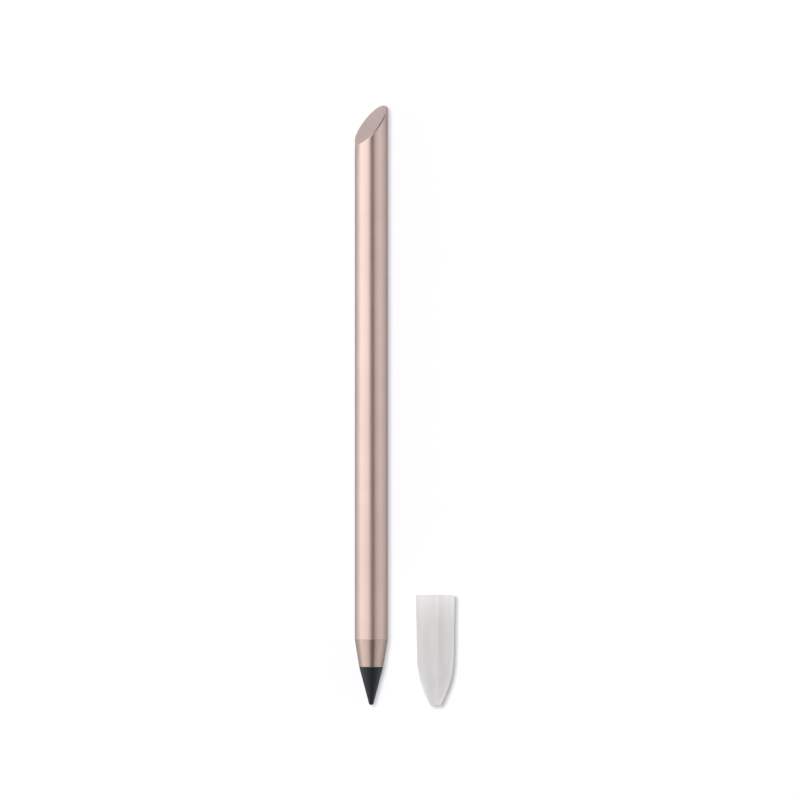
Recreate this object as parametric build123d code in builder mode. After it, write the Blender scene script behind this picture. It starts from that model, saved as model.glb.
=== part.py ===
from build123d import *
import os
from math import acos, atan2, cos, floor, hypot, radians, sin, tan

# Inkless metal pencil, lying on a table with its cap beside it.
# The pencil's axis is Y, with the writing point towards -Y and the slanted end towards +Y.
# Y = 0 is the barrel's front face and Z = 0 its axis, so the table is half a barrel lower.
# Sizes are in millimetres and angles in degrees.

# Barrel: a tube cut square at the front and at a slant at the rear
barrel_diameter = 8.0
barrel_wall = 1.0
barrel_length = 124.98  # along the axis, from the front face to the slanted face
slant_angle = 51.4  # between the slanted face and a square cut
slant_roll = 35.4  # the long side, turned from +X down towards the table
slant_round = 0.35  # radius of the slanted face's outer rim
bore_chamfer = 0.3

# Edge breaks on both sides of the seams between barrel, ferrule and nib
seam_chamfer = 0.03

# Plug glued into the slanted end and cut flush with it
plug_grip = 8.0  # full round length below the slant
plug_chamfer = 0.4

# Glue grooves round the plug and the bush
glue_gap = 0.02
glue_groove_depth = 0.2
glue_groove_width = 0.8
glue_groove_margin = 1.6  # from each end of the glued length to a groove's middle

# Threaded bush glued into the front of the barrel, with a spigot that centres the ferrule
bush_length = 8.0
bush_wall = 0.98  # outside the thread
bush_hole_clearance = 0.1  # round the core of the stem's thread
spigot_wall = 0.5  # outside the thread
spigot_clearance = 0.05
spigot_end_gap = 0.2
spigot_chamfer = 0.2

# Ferrule: the cone between barrel and nib
ferrule_length = 6.59
ferrule_front_wall = 0.84
ferrule_front_land = 2.59  # length of the narrow hole at its front
ferrule_hole_clearance = 0.15

# Thread of the nib's stem, and the room round it in the bush
thread_pitch = 0.7
thread_crest_width = 0.1
thread_root_width = 0.14  # core left bare between two turns
thread_flank_angle = 30.0
thread_clearance = 0.05  # square to the flanks
thread_overlap = 0.03  # how far the ridge is rooted in the core
thread_relief = 0.54  # from the nib's base to the middle of the first turn

# Stem: the thread behind, and a grooved shank fixed in the nib
stem_reach = 4.0  # how far its rear end lies inside the barrel
stem_chamfer = 0.1
shank_step = 0.35  # from the thread's core in to the shank
shank_length = 3.6
shank_groove_count = 3
shank_groove_depth = 0.15
shank_groove_width = 0.4
shank_chamfer = 0.2
socket_end_gap = 0.15

# Nib: a solid writing cone with a rounded point
nib_length = 9.26
nib_step = 0.025  # how far its base stands back inside the ferrule's front edge
nib_point_radius = 0.6

# Cap: one moulding, lying beside the nib with its mouth towards the slanted end
cap_gap = 6.8  # between the barrel's side and the mouth's
cap_setback = 10.75  # from the barrel's front face back to the mouth
cap_clearance = 0.04
cap_mouth_wall = 0.66
cap_wall = 0.6
cap_end_wall = 0.9
cap_draft_angle = 0.9
cap_straight_length = 13.0
cap_end_diameter = 2.68
cap_end_angle = 25.2
cap_nose_start_handle = 5.75
cap_nose_end_handle = 5.8
cap_mouth_round = 0.12
cap_lead_in = 0.2
cap_end_round = 0.6

# How the cap sits on the pencil when it is put on
cap_grip = 8.75  # length of barrel inside it
cap_land_spare = 0.45  # round bore beyond that length
cap_point_room = 1.2
rib_count = 4
rib_width = 0.6
rib_overlap = 1.0  # length of ferrule that the ribs stop
rib_clearance = 0.05
nib_room = 0.15

# Sizes worked out from the ones above
barrel_radius = barrel_diameter / 2
bore_radius = barrel_radius - barrel_wall
glued_radius = bore_radius - glue_gap
thread_room_radius = glued_radius - bush_wall
thread_radius = thread_room_radius - thread_clearance
flank = radians(thread_flank_angle)
thread_depth = (thread_pitch - thread_crest_width - thread_root_width) / (2 * tan(flank))
core_radius = thread_radius - thread_depth
shank_radius = core_radius - shank_step
spigot_radius = thread_room_radius + spigot_wall
spigot_length = ferrule_length - ferrule_front_land - spigot_end_gap
ferrule_hole_radius = thread_radius + ferrule_hole_clearance
ferrule_front_radius = ferrule_hole_radius + ferrule_front_wall
nib_base_radius = ferrule_front_radius - nib_step
nib_base_y = -ferrule_length
nib_point_y = nib_base_y - nib_length
thread_start_y = nib_base_y + thread_relief

slant_rise = tan(radians(slant_angle))
slant_rise_x = slant_rise * cos(radians(slant_roll))
slant_rise_z = -slant_rise * sin(radians(slant_roll))
slant_face = Plane(origin=(0, barrel_length, 0), z_dir=(-slant_rise_x, 1, -slant_rise_z))
uncut_length = barrel_length + barrel_radius * slant_rise + slant_round
plug_front_y = barrel_length - bore_radius * slant_rise - plug_grip


def groove_section(outer_radius, depth, middle_y, width):
    """Return the section of a square groove that runs round the pencil's axis."""
    with BuildSketch(Plane.XY) as section:
        with Locations((outer_radius, middle_y)):
            Rectangle(2 * depth, width)
    return section.sketch


def glue_groove(middle_y):
    """Return the section of a groove that holds glue inside the barrel."""
    return groove_section(glued_radius, glue_groove_depth, middle_y, glue_groove_width)


def thread_width(radius, clearance):
    """Axial width of the stem's thread at a radius, grown by a clearance."""
    return thread_crest_width + 2 * (thread_radius - radius) * tan(flank) + 2 * clearance / cos(flank)


def thread_ridge(start_y, end_y, root_radius, root_width, crest_radius, crest_width):
    """Return a helical ridge between two heights, tapering from its root to its crest."""
    with BuildPart() as ridge:
        with BuildLine() as path:
            Helix(thread_pitch, end_y - start_y, root_radius, (0, start_y, 0), (0, 1, 0))
        start = path.line @ 0
        outward = Vector(start.X, 0, start.Z).normalized()
        with BuildSketch(Plane(start, x_dir=outward, z_dir=outward.cross(Vector(0, 1, 0)))):
            with BuildLine():
                Polyline(
                    (0, -root_width / 2),
                    (crest_radius - root_radius, -crest_width / 2),
                    (crest_radius - root_radius, crest_width / 2),
                    (0, root_width / 2),
                    close=True,
                )
            make_face()
        sweep(path=path.line, is_frenet=True)
    return ridge.part


# Barrel
with BuildPart() as barrel:
    with BuildSketch(Plane.XZ):
        Circle(barrel_radius)
        Circle(bore_radius, mode=Mode.SUBTRACT)
    extrude(amount=-uncut_length)
    split(bisect_by=slant_face, keep=Keep.BOTTOM)
    slanted_rims = barrel.edges().filter_by(GeomType.ELLIPSE)
    fillet(slanted_rims.sort_by(SortBy.LENGTH)[-1], slant_round)
    front_rims = barrel.edges().filter_by(GeomType.CIRCLE).group_by(Axis.Y)[0].sort_by(SortBy.RADIUS)
    chamfer(front_rims[-1], seam_chamfer)
    chamfer(front_rims[0], bore_chamfer)

# Plug in the slanted end
with BuildPart() as end_plug:
    with BuildSketch(Plane.XZ.offset(-plug_front_y)):
        Circle(glued_radius)
    extrude(amount=plug_front_y - uncut_length)
    chamfer(end_plug.edges().group_by(Axis.Y)[0], plug_chamfer)
    split(bisect_by=slant_face, keep=Keep.BOTTOM)
    for groove_y in (plug_front_y + glue_groove_margin, plug_front_y + plug_grip - glue_groove_margin):
        revolve(glue_groove(groove_y), axis=Axis.Y, mode=Mode.SUBTRACT)

# Threaded bush: its thread runs half a pitch from the stem's
bush_front_y = -spigot_length
bush_crest_radius = core_radius + bush_hole_clearance
bush_root_radius = thread_room_radius + thread_overlap
bush_mouth_radius = bush_root_radius + thread_overlap
turns_to_bush = floor((bush_front_y - thread_start_y) / thread_pitch)
bush_ridge = thread_ridge(
    thread_start_y + (turns_to_bush - 0.5) * thread_pitch,
    bush_length + thread_pitch,
    bush_root_radius,
    thread_pitch - thread_width(bush_root_radius, thread_clearance),
    bush_crest_radius,
    thread_pitch - thread_width(bush_crest_radius, thread_clearance),
)
with BuildPart() as bush_thread:
    with BuildSketch(Plane.XY):
        with BuildLine():
            Polyline(
                (0, bush_front_y + bush_mouth_radius),
                (bush_mouth_radius, bush_front_y),
                (bush_mouth_radius, bush_length),
                (0, bush_length - bush_mouth_radius),
                close=True,
            )
        make_face()
    revolve(axis=Axis.Y)
    add(bush_ridge, mode=Mode.INTERSECT)

with BuildPart() as threaded_bush:
    with BuildSketch(Plane.XY):
        with BuildLine():
            Polyline(
                (bush_mouth_radius, bush_front_y),
                (spigot_radius - spigot_chamfer, bush_front_y),
                (spigot_radius, bush_front_y + spigot_chamfer),
                (spigot_radius, 0),
                (glued_radius - bore_chamfer, 0),
                (glued_radius, bore_chamfer),
                (glued_radius, bush_length),
                (bush_mouth_radius, bush_length),
                (thread_room_radius, bush_length - 2 * thread_overlap),
                (thread_room_radius, bush_front_y + 2 * thread_overlap),
                close=True,
            )
        make_face()
    revolve(axis=Axis.Y)
    for groove_y in (glue_groove_margin, bush_length - glue_groove_margin):
        revolve(glue_groove(groove_y), axis=Axis.Y, mode=Mode.SUBTRACT)
    add(bush_thread.part)

# Ferrule
ferrule_seat_radius = spigot_radius + spigot_clearance
ferrule_seat_y = -spigot_length - spigot_end_gap
with BuildPart() as ferrule:
    with BuildSketch(Plane.XY):
        with BuildLine():
            Polyline(
                (ferrule_seat_radius, 0),
                (barrel_radius, 0),
                (ferrule_front_radius, nib_base_y),
                (ferrule_hole_radius, nib_base_y),
                (ferrule_hole_radius, ferrule_seat_y),
                (ferrule_seat_radius, ferrule_seat_y),
                close=True,
            )
        make_face()
    revolve(axis=Axis.Y)
    round_rims = ferrule.edges().filter_by(GeomType.CIRCLE)
    chamfer(round_rims.group_by(Axis.Y)[-1].sort_by(SortBy.RADIUS)[-1], seam_chamfer)
    chamfer(round_rims.group_by(Axis.Y)[0].sort_by(SortBy.RADIUS)[-1], seam_chamfer)

# Stem of the nib
shank_tip_y = nib_base_y - shank_length
stem_end_radius = core_radius - stem_chamfer
stem_root_radius = core_radius - thread_overlap
stem_ridge = thread_ridge(
    thread_start_y,
    stem_reach,
    stem_root_radius,
    thread_width(stem_root_radius, 0),
    thread_radius,
    thread_crest_width,
)
with BuildPart() as stem_thread:
    with BuildSketch(Plane.XY):
        with BuildLine():
            Polyline(
                (0, nib_base_y),
                (core_radius, nib_base_y),
                (thread_room_radius, nib_base_y + thread_room_radius - core_radius),
                (thread_room_radius, stem_reach + stem_end_radius - thread_room_radius),
                (stem_end_radius, stem_reach),
                (0, stem_reach),
                close=True,
            )
        make_face()
    revolve(axis=Axis.Y)
    add(stem_ridge, mode=Mode.INTERSECT)

with BuildPart() as nib_stem:
    with BuildSketch(Plane.XY):
        with BuildLine():
            Polyline(
                (0, shank_tip_y),
                (shank_radius - shank_chamfer, shank_tip_y),
                (shank_radius, shank_tip_y + shank_chamfer),
                (shank_radius, nib_base_y),
                (core_radius, nib_base_y),
                (core_radius, stem_reach - stem_chamfer),
                (stem_end_radius, stem_reach),
                (0, stem_reach),
                close=True,
            )
        make_face()
    revolve(axis=Axis.Y)
    shank_groove_step = shank_length / (shank_groove_count + 1)
    for groove in range(shank_groove_count):
        groove_y = shank_tip_y + (groove + 1) * shank_groove_step
        section = groove_section(shank_radius, shank_groove_depth, groove_y, shank_groove_width)
        revolve(section, axis=Axis.Y, mode=Mode.SUBTRACT)
    add(stem_thread.part)

# Nib
socket_radius = shank_radius + glue_gap
socket_end_y = shank_tip_y - socket_end_gap
point_centre_y = nib_point_y + nib_point_radius
cone_run = nib_base_y - point_centre_y
cone_angle = acos(nib_point_radius / hypot(cone_run, nib_base_radius)) - atan2(cone_run, nib_base_radius)
point_rim = (nib_point_radius * cos(cone_angle), point_centre_y - nib_point_radius * sin(cone_angle))
with BuildPart() as nib:
    with BuildSketch(Plane.XY):
        with BuildLine():
            Polyline((0, nib_point_y), (0, nib_base_y), (nib_base_radius, nib_base_y), point_rim)
            TangentArc(point_rim, (0, nib_point_y), tangent=(-sin(cone_angle), -cos(cone_angle)))
        make_face()
    revolve(axis=Axis.Y)
    chamfer(nib.edges().filter_by(GeomType.CIRCLE).group_by(Axis.Y)[-1], seam_chamfer)
    with BuildSketch(Plane.XZ.offset(-nib_base_y)):
        Circle(socket_radius)
    extrude(amount=nib_base_y - socket_end_y, mode=Mode.SUBTRACT)

# Cap: depths are measured from its mouth towards the closed end
cap_length = cap_grip + ferrule_length + nib_length + cap_point_room + cap_end_wall
cap_inner_end = cap_length - cap_end_wall
cap_land_length = cap_grip + cap_land_spare
cap_land_radius = barrel_radius + cap_clearance
cap_mouth_radius = cap_land_radius + cap_mouth_wall
cap_draft = tan(radians(cap_draft_angle))
cap_nose_draft = tan(radians(cap_end_angle))
cap_shoulder_radius = cap_mouth_radius - cap_straight_length * cap_draft
cap_end_radius = cap_end_diameter / 2
cap_inner_shoulder = cap_shoulder_radius - cap_wall
cap_nose_wall = cap_wall / cos(radians(cap_end_angle))
cap_inner_end_radius = cap_end_radius + cap_end_wall * cap_nose_draft - cap_nose_wall
cap_offset = barrel_radius + cap_gap + cap_mouth_radius
cap_plane = Plane(origin=(cap_offset, cap_setback, cap_mouth_radius - barrel_radius), z_dir=(0, 0, 1))
cap_axis = Axis(cap_plane.origin, (0, 1, 0))
cap_front = Plane(origin=cap_plane.origin, x_dir=(1, 0, 0), z_dir=(0, -1, 0))
ferrule_front_depth = cap_grip + ferrule_length
nib_point_depth = ferrule_front_depth + nib_length
rib_depth = ferrule_front_depth - rib_overlap
ferrule_taper = (barrel_radius - ferrule_front_radius) / ferrule_length


def cap_nose(start_radius, end_radius, end_depth):
    """Draw the nose's curve from the end of the straight length to an end radius and depth."""
    Bezier(
        (start_radius, -cap_straight_length),
        (start_radius - cap_draft * cap_nose_start_handle, -cap_straight_length - cap_nose_start_handle),
        (end_radius + cap_nose_draft * cap_nose_end_handle, cap_nose_end_handle - end_depth),
        (end_radius, -end_depth),
    )


with BuildPart() as cap_hollow:
    with BuildSketch(cap_plane):
        with BuildLine():
            Polyline(
                (0, -cap_inner_end),
                (0, 0),
                (cap_land_radius + cap_lead_in, 0),
                (cap_land_radius, -cap_lead_in),
                (cap_land_radius, -cap_land_length),
                (cap_inner_shoulder, -cap_straight_length),
            )
            cap_nose(cap_inner_shoulder, cap_inner_end_radius, cap_inner_end)
            Line((cap_inner_end_radius, -cap_inner_end), (0, -cap_inner_end))
        make_face()
    revolve(axis=cap_axis)
    with BuildSketch(cap_front.offset(rib_depth)):
        with PolarLocations(cap_mouth_radius / 2, rib_count, 180 / rib_count):
            Rectangle(cap_mouth_radius, rib_width)
    extrude(amount=cap_length - rib_depth, mode=Mode.SUBTRACT)
    with BuildSketch(cap_plane):
        with BuildLine():
            Polyline(
                (0, -rib_depth),
                (ferrule_front_radius + rib_overlap * ferrule_taper + rib_clearance, -rib_depth),
                (ferrule_front_radius + rib_clearance, -ferrule_front_depth),
                (nib_point_radius + nib_room, -nib_point_depth),
                (0, -nib_point_depth - nib_room),
                close=True,
            )
        make_face()
    revolve(axis=cap_axis)

with BuildPart() as cap:
    with BuildSketch(cap_plane):
        with BuildLine():
            Polyline(
                (0, -cap_length),
                (0, 0),
                (cap_mouth_radius, 0),
                (cap_shoulder_radius, -cap_straight_length),
            )
            cap_nose(cap_shoulder_radius, cap_end_radius, cap_length)
            Line((cap_end_radius, -cap_length), (0, -cap_length))
        make_face()
    revolve(axis=cap_axis)
    cap_rims = cap.edges().filter_by(GeomType.CIRCLE).group_by(Axis.Y)
    fillet(cap_rims[0], cap_end_round)
    fillet(cap_rims[-1], cap_mouth_round)
    add(cap_hollow.part, mode=Mode.SUBTRACT)

pieces = {
    "barrel": barrel,
    "end_plug": end_plug,
    "threaded_bush": threaded_bush,
    "ferrule": ferrule,
    "nib_stem": nib_stem,
    "nib": nib,
    "cap": cap,
}
os.makedirs("parts", exist_ok=True)
for name, piece in pieces.items():
    piece.part.label = name
    export_step(piece.part, f"parts/{name}.step")
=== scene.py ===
import math

import bpy
from mathutils import Matrix, Vector


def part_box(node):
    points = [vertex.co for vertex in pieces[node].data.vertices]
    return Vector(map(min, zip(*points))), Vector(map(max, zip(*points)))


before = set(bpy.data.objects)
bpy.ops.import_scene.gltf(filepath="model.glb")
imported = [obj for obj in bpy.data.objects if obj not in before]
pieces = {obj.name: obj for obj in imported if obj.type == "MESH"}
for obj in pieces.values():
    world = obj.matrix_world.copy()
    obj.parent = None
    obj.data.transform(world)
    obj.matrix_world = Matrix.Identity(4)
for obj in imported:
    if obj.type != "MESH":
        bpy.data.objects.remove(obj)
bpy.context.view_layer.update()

# Sizes are in metres, and the frame is the CAD's: the pencil lies along Y with its nib towards -Y,
# its axis is at the origin, and the cap lies beside it at +X with its mouth towards +Y.
MM = 0.001
barrel_low, barrel_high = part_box("barrel")
cap_low, cap_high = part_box("cap")
BARREL_SIDE_X = barrel_high.x
CAP_AXIS_X = (cap_low.x + cap_high.x) / 2
CAP_MOUTH_Y = cap_high.y

# Painted light and shade in the cap's colour: it gets lighter from here to its mouth, as if lit through
# the open mouth, and is painted a shade darker beyond a step this wide right of its axis.
CAP_LIGHTER_FROM_Y = 3.5 * MM
SHADE_STEP_START_X = CAP_AXIS_X + 0.7 * MM
SHADE_STEP_END_X = CAP_AXIS_X + 0.9 * MM

# The table is wide enough that its edges stay out of the picture, and the lift makes it white there.
TABLE_Z = barrel_low.z
TABLE_WIDTH = 8.0
TABLE_LIFT = 0.17

# The camera looks straight down from far off, so the cap's mouth shows edge on, as in the photograph.
PICTURE_CENTRE = (6.97 * MM, 58.0 * MM)
PICTURE_WIDTH = 193.66 * MM
LENS_MM = 800.0
SENSOR_MM = 36.0


def linear(code):
    """A colour written as sRGB hex, as the linear colour that a socket takes."""
    levels = [int(code[i : i + 2], 16) / 255 for i in (1, 3, 5)]
    return [v / 12.92 if v <= 0.04045 else ((v + 0.055) / 1.055) ** 2.4 for v in levels] + [1.0]


def grey(level):
    """A neutral light of this level, as the colour that a ramp takes."""
    return [level, level, level, 1.0]


def add_node(tree, kind, values=None, links=None, stops=None, **settings):
    """Adds a node with its settings, the values and links of its sockets, and the stops of its ramp."""
    node = tree.nodes.new(kind)
    for name, setting in settings.items():
        setattr(node, name, setting)
    for socket, value in (values or {}).items():
        node.inputs[socket].default_value = value
    for socket, source in (links or {}).items():
        tree.links.new(source, node.inputs[socket])
    if stops:
        ramp = node.color_ramp.elements
        for element, (position, colour) in zip(ramp, (stops[0], stops[-1])):
            element.position = position
            element.color = colour
        for position, colour in stops[1:-1]:
            ramp.new(position).color = colour
    return node


def new_material(name):
    """An empty node material and its tree."""
    material = bpy.data.materials.new(name)
    material.use_nodes = True
    material.node_tree.nodes.clear()
    return material, material.node_tree


def per_size(size_mm):
    """The Scale of a pattern whose lumps are about this many millimetres across."""
    return 1.0 / (size_mm * MM)


def group(name, things):
    """A collection of the things that a light reaches, or that shade it."""
    collection = bpy.data.collections.new(name)
    for thing in things:
        collection.objects.link(thing)
    return collection


# Materials


def anodised_aluminium(name, dark, light, smoothest, roughest):
    """Aluminium, bead-blasted and then anodised and dyed a pale rose champagne.

    The blasting leaves a fine even grain that spreads every reflection into a soft band, and the dyed
    oxide tints it. The dye takes a little unevenly, and handling polishes the grain in faint patches.
    """
    material, tree = new_material(name)
    place = add_node(tree, "ShaderNodeTexCoord").outputs["Object"]
    dye_patch = add_node(
        tree, "ShaderNodeTexNoise", {"Scale": per_size(7.0), "Detail": 2.0, "Roughness": 0.5},
        {"Vector": place},
    )
    # blasted grain is about 0.05 mm and is drawn at 0.16 mm, so that it shows
    grain = add_node(
        tree, "ShaderNodeTexNoise", {"Scale": per_size(0.16), "Detail": 3.0, "Roughness": 0.65},
        {"Vector": place},
    )
    dye = add_node(
        tree, "ShaderNodeValToRGB", links={"Fac": dye_patch.outputs["Fac"]},
        stops=[(0.3, linear(dark)), (0.7, linear(light))],
    )
    speck = add_node(
        tree, "ShaderNodeMapRange",
        {"From Min": 0.3, "From Max": 0.7, "To Min": 0.965, "To Max": 1.035},
        {"Value": grain.outputs["Fac"]},
    )
    tint = add_node(
        tree, "ShaderNodeVectorMath",
        links={0: dye.outputs["Color"], "Scale": speck.outputs["Result"]}, operation="SCALE",
    )
    handled = add_node(
        tree, "ShaderNodeTexNoise", {"Scale": per_size(18.0), "Detail": 3.0, "Roughness": 0.55},
        {"Vector": place},
    )
    sheen = add_node(
        tree, "ShaderNodeMapRange",
        {"From Min": 0.35, "From Max": 0.65, "To Min": smoothest, "To Max": roughest},
        {"Value": handled.outputs["Fac"]},
    )
    relief = add_node(
        tree, "ShaderNodeBump", {"Strength": 0.12, "Distance": 0.004 * MM},
        {"Height": grain.outputs["Fac"]},
    )
    shader = add_node(
        tree, "ShaderNodeBsdfPrincipled", {"Metallic": 1.0},
        {
            "Base Color": tint.outputs["Vector"],
            "Roughness": sheen.outputs["Result"],
            "Normal": relief.outputs["Normal"],
        },
    )
    add_node(tree, "ShaderNodeOutputMaterial", links={"Surface": shader.outputs["BSDF"]})
    return material


def turned_brass():
    """Free-cutting brass, turned on a lathe and left bare.

    The tool leaves fine rings round the axis, and the metal is bright yellow with a few dull patches.
    """
    material, tree = new_material("turned_brass")
    place = add_node(tree, "ShaderNodeTexCoord").outputs["Object"]
    # the rings follow the tool's feed of 0.08 mm a turn and are drawn at 0.2 mm, so that they show
    along = add_node(tree, "ShaderNodeMapping", {"Scale": (0.15, 1.0, 0.15)}, {"Vector": place})
    rings = add_node(
        tree, "ShaderNodeTexNoise", {"Scale": per_size(0.2), "Detail": 2.0, "Roughness": 0.6},
        {"Vector": along.outputs["Vector"]},
    )
    tarnish = add_node(
        tree, "ShaderNodeTexNoise", {"Scale": per_size(1.6), "Detail": 4.0, "Roughness": 0.6},
        {"Vector": place},
    )
    colour = add_node(
        tree, "ShaderNodeValToRGB", links={"Fac": tarnish.outputs["Fac"]},
        stops=[(0.35, linear("#c9a75f")), (0.65, linear("#dcbd78"))],
    )
    gloss = add_node(
        tree, "ShaderNodeMapRange",
        {"From Min": 0.3, "From Max": 0.7, "To Min": 0.24, "To Max": 0.38},
        {"Value": tarnish.outputs["Fac"]},
    )
    relief = add_node(
        tree, "ShaderNodeBump", {"Strength": 0.3, "Distance": 0.006 * MM},
        {"Height": rings.outputs["Fac"]},
    )
    shader = add_node(
        tree, "ShaderNodeBsdfPrincipled", {"Metallic": 1.0},
        {
            "Base Color": colour.outputs["Color"],
            "Roughness": gloss.outputs["Result"],
            "Normal": relief.outputs["Normal"],
        },
    )
    add_node(tree, "ShaderNodeOutputMaterial", links={"Surface": shader.outputs["BSDF"]})
    return material


def graphite_composite():
    """Graphite powder pressed with a metal alloy and ground to a cone.

    It is a near-black, faintly cool grey with the soft shine of pencil lead, fine grinding rings and
    tiny flakes of graphite that shine a little more.
    """
    material, tree = new_material("graphite_composite")
    place = add_node(tree, "ShaderNodeTexCoord").outputs["Object"]
    flakes = add_node(
        tree, "ShaderNodeTexVoronoi", {"Scale": per_size(0.22), "Randomness": 1.0},
        {"Vector": place}, feature="F1",
    )
    mottle = add_node(
        tree, "ShaderNodeTexNoise", {"Scale": per_size(0.9), "Detail": 4.0, "Roughness": 0.6},
        {"Vector": place},
    )
    # grinding lines of about 0.05 mm are drawn at 0.15 mm, so that they show
    along = add_node(tree, "ShaderNodeMapping", {"Scale": (0.2, 1.0, 0.2)}, {"Vector": place})
    ground = add_node(
        tree, "ShaderNodeTexNoise", {"Scale": per_size(0.15), "Detail": 2.0, "Roughness": 0.55},
        {"Vector": along.outputs["Vector"]},
    )
    colour = add_node(
        tree, "ShaderNodeValToRGB", links={"Fac": mottle.outputs["Fac"]},
        stops=[(0.3, linear("#0b141b")), (0.72, linear("#141d24"))],
    )
    gloss = add_node(
        tree, "ShaderNodeMapRange",
        {"From Min": 0.0, "From Max": 0.9, "To Min": 0.36, "To Max": 0.52},
        {"Value": flakes.outputs["Distance"]},
    )
    relief = add_node(
        tree, "ShaderNodeBump", {"Strength": 0.25, "Distance": 0.006 * MM},
        {"Height": ground.outputs["Fac"]},
    )
    # the ground surface is too coarse to shine at its edges
    facing = add_node(tree, "ShaderNodeLayerWeight", {"Blend": 0.5})
    shine = add_node(
        tree, "ShaderNodeMapRange",
        {"From Min": 0.5, "From Max": 0.92, "To Min": 0.5, "To Max": 0.05},
        {"Value": facing.outputs["Facing"]},
    )
    shader = add_node(
        tree, "ShaderNodeBsdfPrincipled", {"Metallic": 0.0, "IOR": 1.46},
        {
            "Base Color": colour.outputs["Color"],
            "Specular IOR Level": shine.outputs["Result"],
            "Roughness": gloss.outputs["Result"],
            "Normal": relief.outputs["Normal"],
        },
    )
    add_node(tree, "ShaderNodeOutputMaterial", links={"Surface": shader.outputs["BSDF"]})
    return material


def frosted_polypropylene():
    """Natural polypropylene, moulded in a finely etched tool.

    The etching frosts the surface, and the milky resin scatters light under it. Painted light makes
    it a shade lighter towards the mouth, as if lit through it, and painted shade makes it a step
    darker right of its axis.
    """
    material, tree = new_material("frosted_polypropylene")
    place = add_node(tree, "ShaderNodeTexCoord").outputs["Object"]
    # flow of the resin along the cap, stretched lengthwise
    flow_place = add_node(tree, "ShaderNodeMapping", {"Scale": (1.0, 0.22, 1.0)}, {"Vector": place})
    flow = add_node(
        tree, "ShaderNodeTexNoise", {"Scale": per_size(2.6), "Detail": 3.0, "Roughness": 0.5},
        {"Vector": flow_place.outputs["Vector"]},
    )
    # etched texture is about 0.04 mm and is drawn at 0.14 mm, so that it shows
    etch = add_node(
        tree, "ShaderNodeTexNoise", {"Scale": per_size(0.14), "Detail": 2.0, "Roughness": 0.6},
        {"Vector": place},
    )
    colour = add_node(
        tree, "ShaderNodeValToRGB", links={"Fac": flow.outputs["Fac"]},
        stops=[(0.3, linear("#d6d7d7")), (0.7, linear("#e0e0e0"))],
    )
    axis = add_node(tree, "ShaderNodeSeparateXYZ", links={"Vector": place})
    # painted light: the cap gets lighter towards its open mouth, as if lit through it
    painted_mouth_light = add_node(
        tree, "ShaderNodeMapRange",
        {"From Min": CAP_LIGHTER_FROM_Y, "From Max": CAP_MOUTH_Y, "To Min": 1.0, "To Max": 1.13},
        {"Value": axis.outputs["Y"]}, interpolation_type="SMOOTHSTEP",
    )
    # painted shade: right of its axis the cap is a step darker, as on its side away from the light
    painted_right_shade = add_node(
        tree, "ShaderNodeMapRange",
        {"From Min": SHADE_STEP_START_X, "From Max": SHADE_STEP_END_X, "To Min": 1.0, "To Max": 0.93},
        {"Value": axis.outputs["X"]}, interpolation_type="SMOOTHSTEP",
    )
    painted_light_and_shade = add_node(
        tree, "ShaderNodeMath",
        links={0: painted_mouth_light.outputs["Result"], 1: painted_right_shade.outputs["Result"]},
        operation="MULTIPLY",
    )
    # the resin's colour times the painted light and shade
    resin = add_node(
        tree, "ShaderNodeVectorMath",
        links={0: colour.outputs["Color"], "Scale": painted_light_and_shade.outputs["Value"]}, operation="SCALE",
    )
    gloss = add_node(
        tree, "ShaderNodeMapRange",
        {"From Min": 0.3, "From Max": 0.7, "To Min": 0.42, "To Max": 0.5},
        {"Value": etch.outputs["Fac"]},
    )
    relief = add_node(
        tree, "ShaderNodeBump", {"Strength": 0.15, "Distance": 0.004 * MM},
        {"Height": etch.outputs["Fac"]},
    )
    shader = add_node(
        tree, "ShaderNodeBsdfPrincipled",
        {
            "IOR": 1.49,
            "Specular IOR Level": 0.4,
            "Subsurface Weight": 1.0,
            "Subsurface Radius": (1.0, 1.0, 1.0),
            "Subsurface Scale": 1.0 * MM,
        },
        {
            "Base Color": resin.outputs["Vector"],
            "Roughness": gloss.outputs["Result"],
            "Normal": relief.outputs["Normal"],
        },
    )
    add_node(tree, "ShaderNodeOutputMaterial", links={"Surface": shader.outputs["BSDF"]})
    return material


def white_card():
    """Matt white card under the pencil, with a trace of blue that keeps its shadows neutral.

    What the camera and reflections see of it is lifted to white.
    """
    material, tree = new_material("white_card")
    matt = add_node(tree, "ShaderNodeBsdfDiffuse", {"Color": linear("#dcdce0")})
    rays = add_node(tree, "ShaderNodeLightPath")
    seen_or_mirrored = add_node(
        tree, "ShaderNodeMath",
        links={0: rays.outputs["Is Camera Ray"], 1: rays.outputs["Is Glossy Ray"]},
        operation="MAXIMUM",
    )
    seen = add_node(
        tree, "ShaderNodeMath",
        links={0: seen_or_mirrored.outputs["Value"], 1: rays.outputs["Is Transmission Ray"]},
        operation="MAXIMUM",
    )
    lift = add_node(
        tree, "ShaderNodeMath", {1: TABLE_LIFT}, {0: seen.outputs["Value"]}, operation="MULTIPLY",
    )
    glow = add_node(
        tree, "ShaderNodeEmission", {"Color": linear("#ffffff")}, {"Strength": lift.outputs["Value"]},
    )
    both = add_node(
        tree, "ShaderNodeAddShader", links={0: matt.outputs["BSDF"], 1: glow.outputs["Emission"]},
    )
    add_node(tree, "ShaderNodeOutputMaterial", links={"Surface": both.outputs["Shader"]})
    return material


# the denoiser takes a surface smoother than about 0.275 for a mirror, so the tube stays rougher
tube = anodised_aluminium(
    "blasted_anodised_tube", dark="#b5a29c", light="#b9a6a0", smoothest=0.278, roughest=0.312,
)
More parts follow.
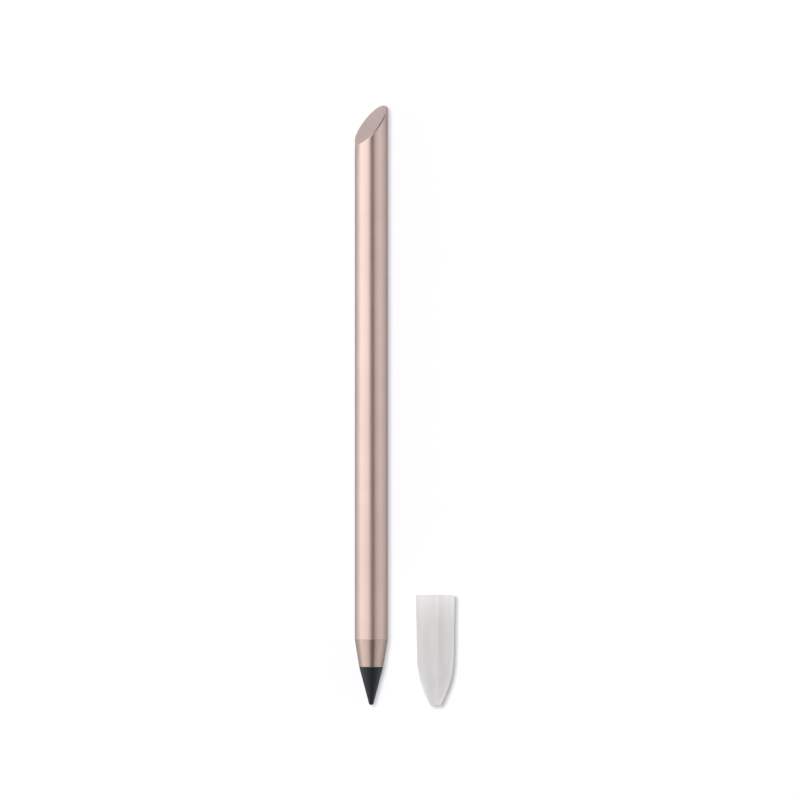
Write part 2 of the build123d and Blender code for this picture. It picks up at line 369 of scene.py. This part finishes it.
# the cone is turned and only lightly blasted, so it is smoother, and its dye is a little deeper
turned = anodised_aluminium(
    "turned_anodised_cone", dark="#a9968e", light="#ad9a92", smoothest=0.21, roughest=0.25,
)
brass = turned_brass()
finishes = {
    "barrel": tube,
    "end_plug": tube,
    "ferrule": turned,
    "threaded_bush": brass,
    "nib_stem": brass,
    "nib": graphite_composite(),
    "cap": frosted_polypropylene(),
}
for name, finish in finishes.items():
    for slot in pieces[name].material_slots:
        slot.material = finish

# the photograph shows no mirror image of the cap in the pencil
pieces["cap"].visible_glossy = False


# Table


bpy.ops.object.select_all(action="DESELECT")
bpy.ops.mesh.primitive_plane_add(size=TABLE_WIDTH, location=(0.0, 0.0, TABLE_Z))
table = bpy.context.object
table.name = "table"
table.data.materials.append(white_card())

on_pencil = group("pencil", [piece for name, piece in pieces.items() if name != "cap"])
on_cap = group("cap_alone", [pieces["cap"]])
on_table = group("table_alone", [table])
pencil_and_cap = group("pencil_and_cap", pieces.values())


# Cards beside the pencil


# The pencil's edges mirror what lies beside it, here glowing cards that show only mirrored. Close by
# on the right they are grey and on the left dim, painted shade of the table's shadow beside the pencil;
# further out on the left they are bright, less so beside the ferrule and the nib.
CARD_LIFT = 0.02 * MM
CARD_START = BARREL_SIDE_X + 0.5 * MM
GREY_CARD_END = 17.5 * MM
LEFT_CARD_BREAK = -20.0 * MM
LEFT_CARD_END = -120.0 * MM
BESIDE_PENCIL = (-8.0 * MM, 180.0 * MM)
BESIDE_BARREL = (-1.0 * MM, 119.0 * MM)
BESIDE_NIB = (-60.0 * MM, -1.0 * MM)


def side_card(name, near, far, y_range, near_level, far_level):
    """A glowing card that lies along the pencil from a near to a far x, and shows only mirrored in it."""
    material, tree = new_material(name)
    place = add_node(tree, "ShaderNodeTexCoord").outputs["Object"]
    side = add_node(tree, "ShaderNodeSeparateXYZ", links={"Vector": place})
    level = add_node(
        tree, "ShaderNodeMapRange",
        {"From Min": near, "From Max": far, "To Min": near_level, "To Max": far_level},
        {"Value": side.outputs["X"]},
    )
    glow = add_node(tree, "ShaderNodeEmission", links={"Strength": level.outputs["Result"]})
    add_node(tree, "ShaderNodeOutputMaterial", links={"Surface": glow.outputs["Emission"]})
    bpy.ops.object.select_all(action="DESELECT")
    bpy.ops.mesh.primitive_plane_add(
        size=1.0, location=((near + far) / 2, sum(y_range) / 2, TABLE_Z + CARD_LIFT),
    )
    card = bpy.context.object
    card.name = name
    card.scale = (abs(far - near), y_range[1] - y_range[0], 1.0)
    bpy.ops.object.transform_apply(location=True, rotation=False, scale=True)
    card.data.materials.append(material)
    card.visible_camera = False
    card.visible_diffuse = False
    card.visible_transmission = False
    card.visible_shadow = False
    card.light_linking.receiver_collection = on_pencil
    card.light_linking.blocker_collection = on_pencil


# painted shade: grey close by and lighter further out, for the table's shadow mirrored in the right edge
side_card("painted_shade_card", CARD_START, GREY_CARD_END, BESIDE_PENCIL, near_level=0.36, far_level=1.0)
# the near cards on the left are painted shade too, dim close by; the far ones are bright
for name, y_range, levels in (
    ("white_card", BESIDE_BARREL, (0.6, 1.3, 1.7)),
    ("nib_card", BESIDE_NIB, (0.62, 1.15, 1.3)),
):
    side_card(name + "_near", -CARD_START, LEFT_CARD_BREAK, y_range, levels[0], levels[1])
    side_card(name + "_far", LEFT_CARD_BREAK, LEFT_CARD_END, y_range, levels[1], levels[2])


# Light


def studio_dome():
    """A pale room: white round the horizon, under a darker and slightly warm ceiling."""
    world = bpy.data.worlds.new("studio_dome")
    bpy.context.scene.world = world
    world.use_nodes = True
    tree = world.node_tree
    tree.nodes.clear()
    towards = add_node(tree, "ShaderNodeTexCoord").outputs["Generated"]
    direction = add_node(tree, "ShaderNodeSeparateXYZ", links={"Vector": towards})
    shade = add_node(
        tree, "ShaderNodeValToRGB", links={"Fac": direction.outputs["Z"]},
        stops=[
            (0.0, grey(0.95)),
            (0.3, grey(0.72)),
            (0.7, (0.44, 0.395, 0.38, 1.0)),
            (0.95, (0.4, 0.345, 0.325, 1.0)),
        ],
    )
    # above the horizon, the ends of the room beyond the nib and the slanted end are darker than its sides
    end = add_node(tree, "ShaderNodeMath", links={0: direction.outputs["Y"]}, operation="ABSOLUTE")
    end_shade = add_node(
        tree, "ShaderNodeMapRange",
        {"From Min": 0.1, "From Max": 0.8, "To Min": 0.0, "To Max": 0.85},
        {"Value": end.outputs["Value"]},
    )
    above = add_node(
        tree, "ShaderNodeMapRange", {"From Min": 0.08, "From Max": 0.28},
        {"Value": direction.outputs["Z"]},
    )
    shaded = add_node(
        tree, "ShaderNodeMath",
        links={0: end_shade.outputs["Result"], 1: above.outputs["Result"]}, operation="MULTIPLY",
    )
    dim = add_node(
        tree, "ShaderNodeMath", {0: 1.0}, {1: shaded.outputs["Value"]}, operation="SUBTRACT",
    )
    sky = add_node(
        tree, "ShaderNodeBackground",
        links={"Color": shade.outputs["Color"], "Strength": dim.outputs["Value"]},
    )
    add_node(tree, "ShaderNodeOutputWorld", links={"Surface": sky.outputs["Background"]})


def softbox(name, high, low, y_range, radiance, across_stops, along_stops, lit):
    """A soft box whose sheet runs from its high edge to its low edge, both given as (x, z), along y.

    Its stops say how strong it is from the high edge to the low one, and from the nib's end to the other.
    """
    width = math.dist(high, low)
    length = y_range[1] - y_range[0]
    middle = Vector(((high[0] + low[0]) / 2, sum(y_range) / 2, (high[1] + low[1]) / 2))
    across = Vector((low[0] - high[0], 0.0, low[1] - high[1])).normalized()
    along = Vector((0.0, 1.0, 0.0))
    # a lamp shines along its own -Z, so the box is turned until its back points away from the pencil
    if across.cross(along).dot(middle) < 0:
        along = -along
        along_stops = [(1.0 - place, level) for place, level in reversed(along_stops)]
    turn = Matrix((across, along, across.cross(along))).transposed().to_4x4()
    lamp = bpy.data.lights.new(name, "AREA")
    lamp.shape = "RECTANGLE"
    lamp.size = width
    lamp.size_y = length
    # the watts that give an even sheet of this size the radiance
    lamp.energy = radiance * math.pi * width * length
    lamp.use_nodes = True
    tree = lamp.node_tree
    tree.nodes.clear()
    sheet = add_node(tree, "ShaderNodeNewGeometry").outputs["Parametric"]
    side = add_node(tree, "ShaderNodeSeparateXYZ", links={"Vector": sheet})
    across_strength, along_strength = [
        add_node(
            tree, "ShaderNodeValToRGB", links={"Fac": side.outputs[axis]},
            stops=[(place, grey(level)) for place, level in stops],
        )
        for axis, stops in (("X", across_stops), ("Y", along_stops))
    ]
    strength = add_node(
        tree, "ShaderNodeMath",
        links={0: across_strength.outputs["Color"], 1: along_strength.outputs["Color"]},
        operation="MULTIPLY",
    )
    glow = add_node(tree, "ShaderNodeEmission", links={"Strength": strength.outputs["Value"]})
    add_node(tree, "ShaderNodeOutputLight", links={"Surface": glow.outputs["Emission"]})
    box = bpy.data.objects.new(name, lamp)
    bpy.context.scene.collection.objects.link(box)
    box.matrix_world = Matrix.Translation(middle) @ turn
    box.visible_camera = False
    box.light_linking.receiver_collection = lit
    box.light_linking.blocker_collection = lit


def table_sun(name, lean_left, lean_up, width_deg, level, shading):
    """A soft high light on the table alone, for the narrow shadow of what shades it.

    It leans to the left of the picture and to its top, and level is what a white table would show.
    """
    lamp = bpy.data.lights.new(name, "SUN")
    lamp.angle = math.radians(width_deg)
    lamp.energy = level * math.pi
    sun = bpy.data.objects.new(name, lamp)
    bpy.context.scene.collection.objects.link(sun)
    source = Vector((-math.tan(math.radians(lean_left)), math.tan(math.radians(lean_up)), 1.0))
    sun.rotation_mode = "QUATERNION"
    sun.rotation_quaternion = source.to_track_quat("Z", "Y")
    sun.light_linking.receiver_collection = on_table
    sun.light_linking.blocker_collection = shading


studio_dome()

# The left box is the barrel's broad light band and the right one its dimmer band. The dark line between
# them is the ceiling, which shows through the gap. The barrel mirrors what is straight beside it, and
# the cones of ferrule and nib lean forward and mirror what is nearer to the nib's end of a box.
softbox(
    "left_softbox", high=(-0.01, 0.6), low=(-0.6, 0.0), y_range=(-0.2, 0.52), radiance=1.86,
    across_stops=[(0.0, 0.36), (0.3, 0.945), (0.55, 0.95), (0.85, 0.79), (1.0, 0.75)],
    along_stops=[
        (0.0, 0.4), (0.045, 0.64), (0.09, 0.86), (0.17, 0.78),
        (0.264, 0.65), (0.35, 0.91), (0.458, 1.0), (1.0, 1.0),
    ],
    lit=on_pencil,
)
softbox(
    "right_softbox", high=(0.27, 0.535), low=(0.6, 0.0), y_range=(-0.3, 0.52), radiance=0.82,
    across_stops=[(0.0, 1.0), (0.6, 1.0), (1.0, 0.3)],
    along_stops=[
        (0.0, 0.05), (0.07, 0.25), (0.11, 0.65), (0.15, 1.0), (0.2, 1.05),
        (0.355, 0.66), (0.42, 0.9), (0.52, 1.0), (1.0, 1.0),
    ],
    lit=on_pencil,
)

# The cap has a tent of its own, brightest overhead, and a low sheet beside it that lights its left rim.
even = [(0.0, 1.0), (1.0, 1.0)]
softbox(
    "cap_tent_left", high=(0.0, 0.6), low=(-0.6, 0.0), y_range=(-0.5, 0.5), radiance=0.66,
    across_stops=[(0.0, 1.75), (0.5, 0.88), (1.0, 1.0)], along_stops=even, lit=on_cap,
)
softbox(
    "cap_tent_right", high=(0.0, 0.6), low=(0.6, 0.0), y_range=(-0.5, 0.5), radiance=0.72,
    across_stops=[(0.0, 1.6), (0.5, 0.8), (1.0, 1.15)], along_stops=even, lit=on_cap,
)
REFLECTOR_Z = TABLE_Z + 0.5 * MM
softbox(
    "cap_reflector", high=(9.5 * MM, REFLECTOR_Z), low=(-20.0 * MM, REFLECTOR_Z),
    y_range=(-30.0 * MM, 30.0 * MM), radiance=0.7, across_stops=even, along_stops=even, lit=on_cap,
)

# The cap's shadow is the deeper one in the photograph, so a second light is shaded by the cap alone.
table_sun(
    "table_sun", lean_left=8.5, lean_up=6.0, width_deg=17.0, level=0.66, shading=pencil_and_cap,
)
table_sun("cap_sun", lean_left=9.5, lean_up=8.0, width_deg=18.0, level=0.25, shading=on_cap)


# Camera


lens = bpy.data.cameras.new("overhead_camera")
lens.lens = LENS_MM
lens.sensor_width = SENSOR_MM
camera = bpy.data.objects.new("overhead_camera", lens)
camera.location = (*PICTURE_CENTRE, PICTURE_WIDTH * LENS_MM / SENSOR_MM)
bpy.context.scene.collection.objects.link(camera)
bpy.context.scene.camera = camera
bpy.context.scene.view_settings.view_transform = "Standard"
